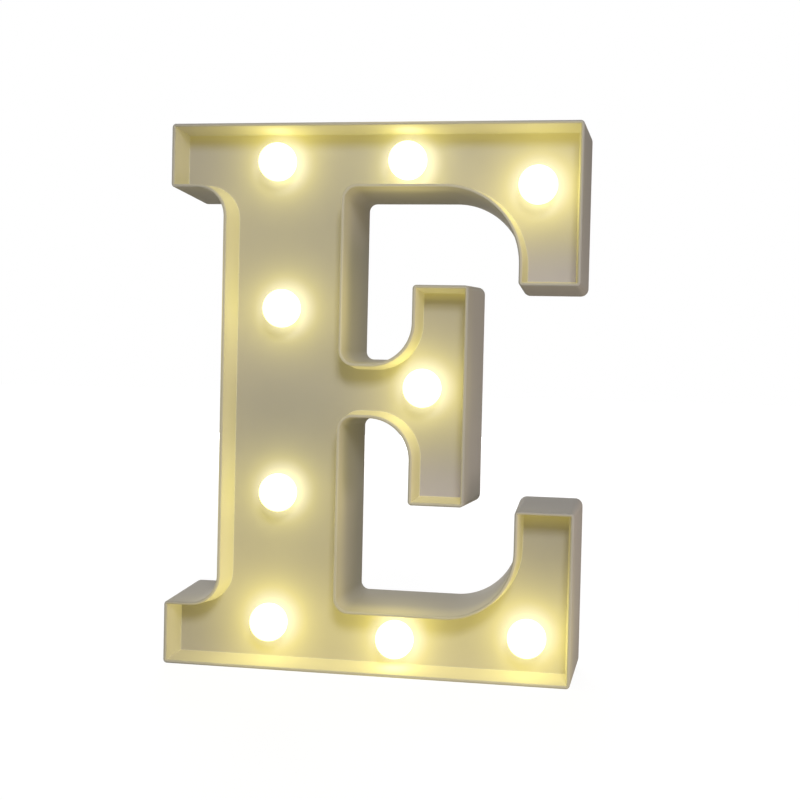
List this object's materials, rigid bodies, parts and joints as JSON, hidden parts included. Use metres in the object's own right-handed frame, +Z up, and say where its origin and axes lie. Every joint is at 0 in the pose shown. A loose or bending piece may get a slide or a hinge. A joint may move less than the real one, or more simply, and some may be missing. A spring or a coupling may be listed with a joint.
{
  "type": "light-up letter",
  "caption": "Free-standing or wall-hung letter E: a deep moulded tray with ball bulbs on its floor, a screwed back cover, a hinged battery door and a slide switch.",
  "frame": {"origin": "middle of the base, under the middle of the depth", "axes": "+X to the reader's right, +Y from the open front into the letter, +Z up"},
  "size_m": [0.169, 0.0434, 0.2217],
  "materials": {
    "white_plastic": "satin moulded white",
    "milky_plastic": "milky, lit from inside",
    "clear_resin": "clear lamp resin",
    "plated_steel": "nickel plated",
    "red_sleeve": "wire sleeve",
    "black_sleeve": "wire sleeve",
    "resistor_body": "lacquered",
    "cell_wrap": "printed wrap, plain",
    "switch_board": "phenolic board",
    "black_plastic": "moulded black"
  },
  "bodies": {
    "body": {"front_shell": "white_plastic", "back_cover": "white_plastic", "bulb_top_right": "milky_plastic", "bulb_top_middle": "milky_plastic", "bulb_top_left": "milky_plastic", "bulb_stem_upper": "milky_plastic", "bulb_middle": "milky_plastic", "bulb_stem_lower": "milky_plastic", "bulb_bottom_left": "milky_plastic", "bulb_bottom_middle": "milky_plastic", "bulb_bottom_right": "milky_plastic", "lamp_top_right": "clear_resin", "lamp_top_middle": "clear_resin", "lamp_top_left": "clear_resin", "lamp_stem_upper": "clear_resin", "lamp_middle": "clear_resin", "lamp_stem_lower": "clear_resin", "lamp_bottom_left": "clear_resin", "lamp_bottom_middle": "clear_resin", "lamp_bottom_right": "clear_resin", "positive_wire": "red_sleeve", "negative_wire": "black_sleeve", "battery_lead": "red_sleeve", "feed_lead": "red_sleeve", "return_lead": "black_sleeve", "resistor": "resistor_body", "cell_left": "cell_wrap", "cell_right": "cell_wrap", "bridge_contact": "plated_steel", "positive_contact": "plated_steel", "negative_contact": "plated_steel", "lower_spring": "plated_steel", "upper_spring": "plated_steel", "switch_bracket": "plated_steel", "switch_base": "switch_board", "switch_pin_left": "plated_steel", "switch_pin_middle": "plated_steel", "switch_pin_right": "plated_steel", "switch_screw_left": "plated_steel", "switch_screw_right": "plated_steel", "cover_screw_top_left": "plated_steel", "cover_screw_top_right": "plated_steel", "cover_screw_upper_serif": "plated_steel", "cover_screw_slab_top": "plated_steel", "cover_screw_slab_bottom": "plated_steel", "cover_screw_lower_serif": "plated_steel", "cover_screw_bottom_right": "plated_steel", "cover_screw_bottom_left": "plated_steel"},
    "door": {"battery_door": "white_plastic"},
    "knob": {"switch_knob": "black_plastic"}
  },
  "joints": [
    {"name": "door_hinge", "type": "hinge", "parent": "body", "child": "door", "pos_m": [-0.03575, 0.02175, 0.0838], "axis": [-1, 0, 0], "range_deg": [0, 70]},
    {"name": "knob_slide", "type": "slide", "parent": "body", "child": "knob", "axis": [-1, 0, 0], "range_m": [0, 0.004]}
  ]
}
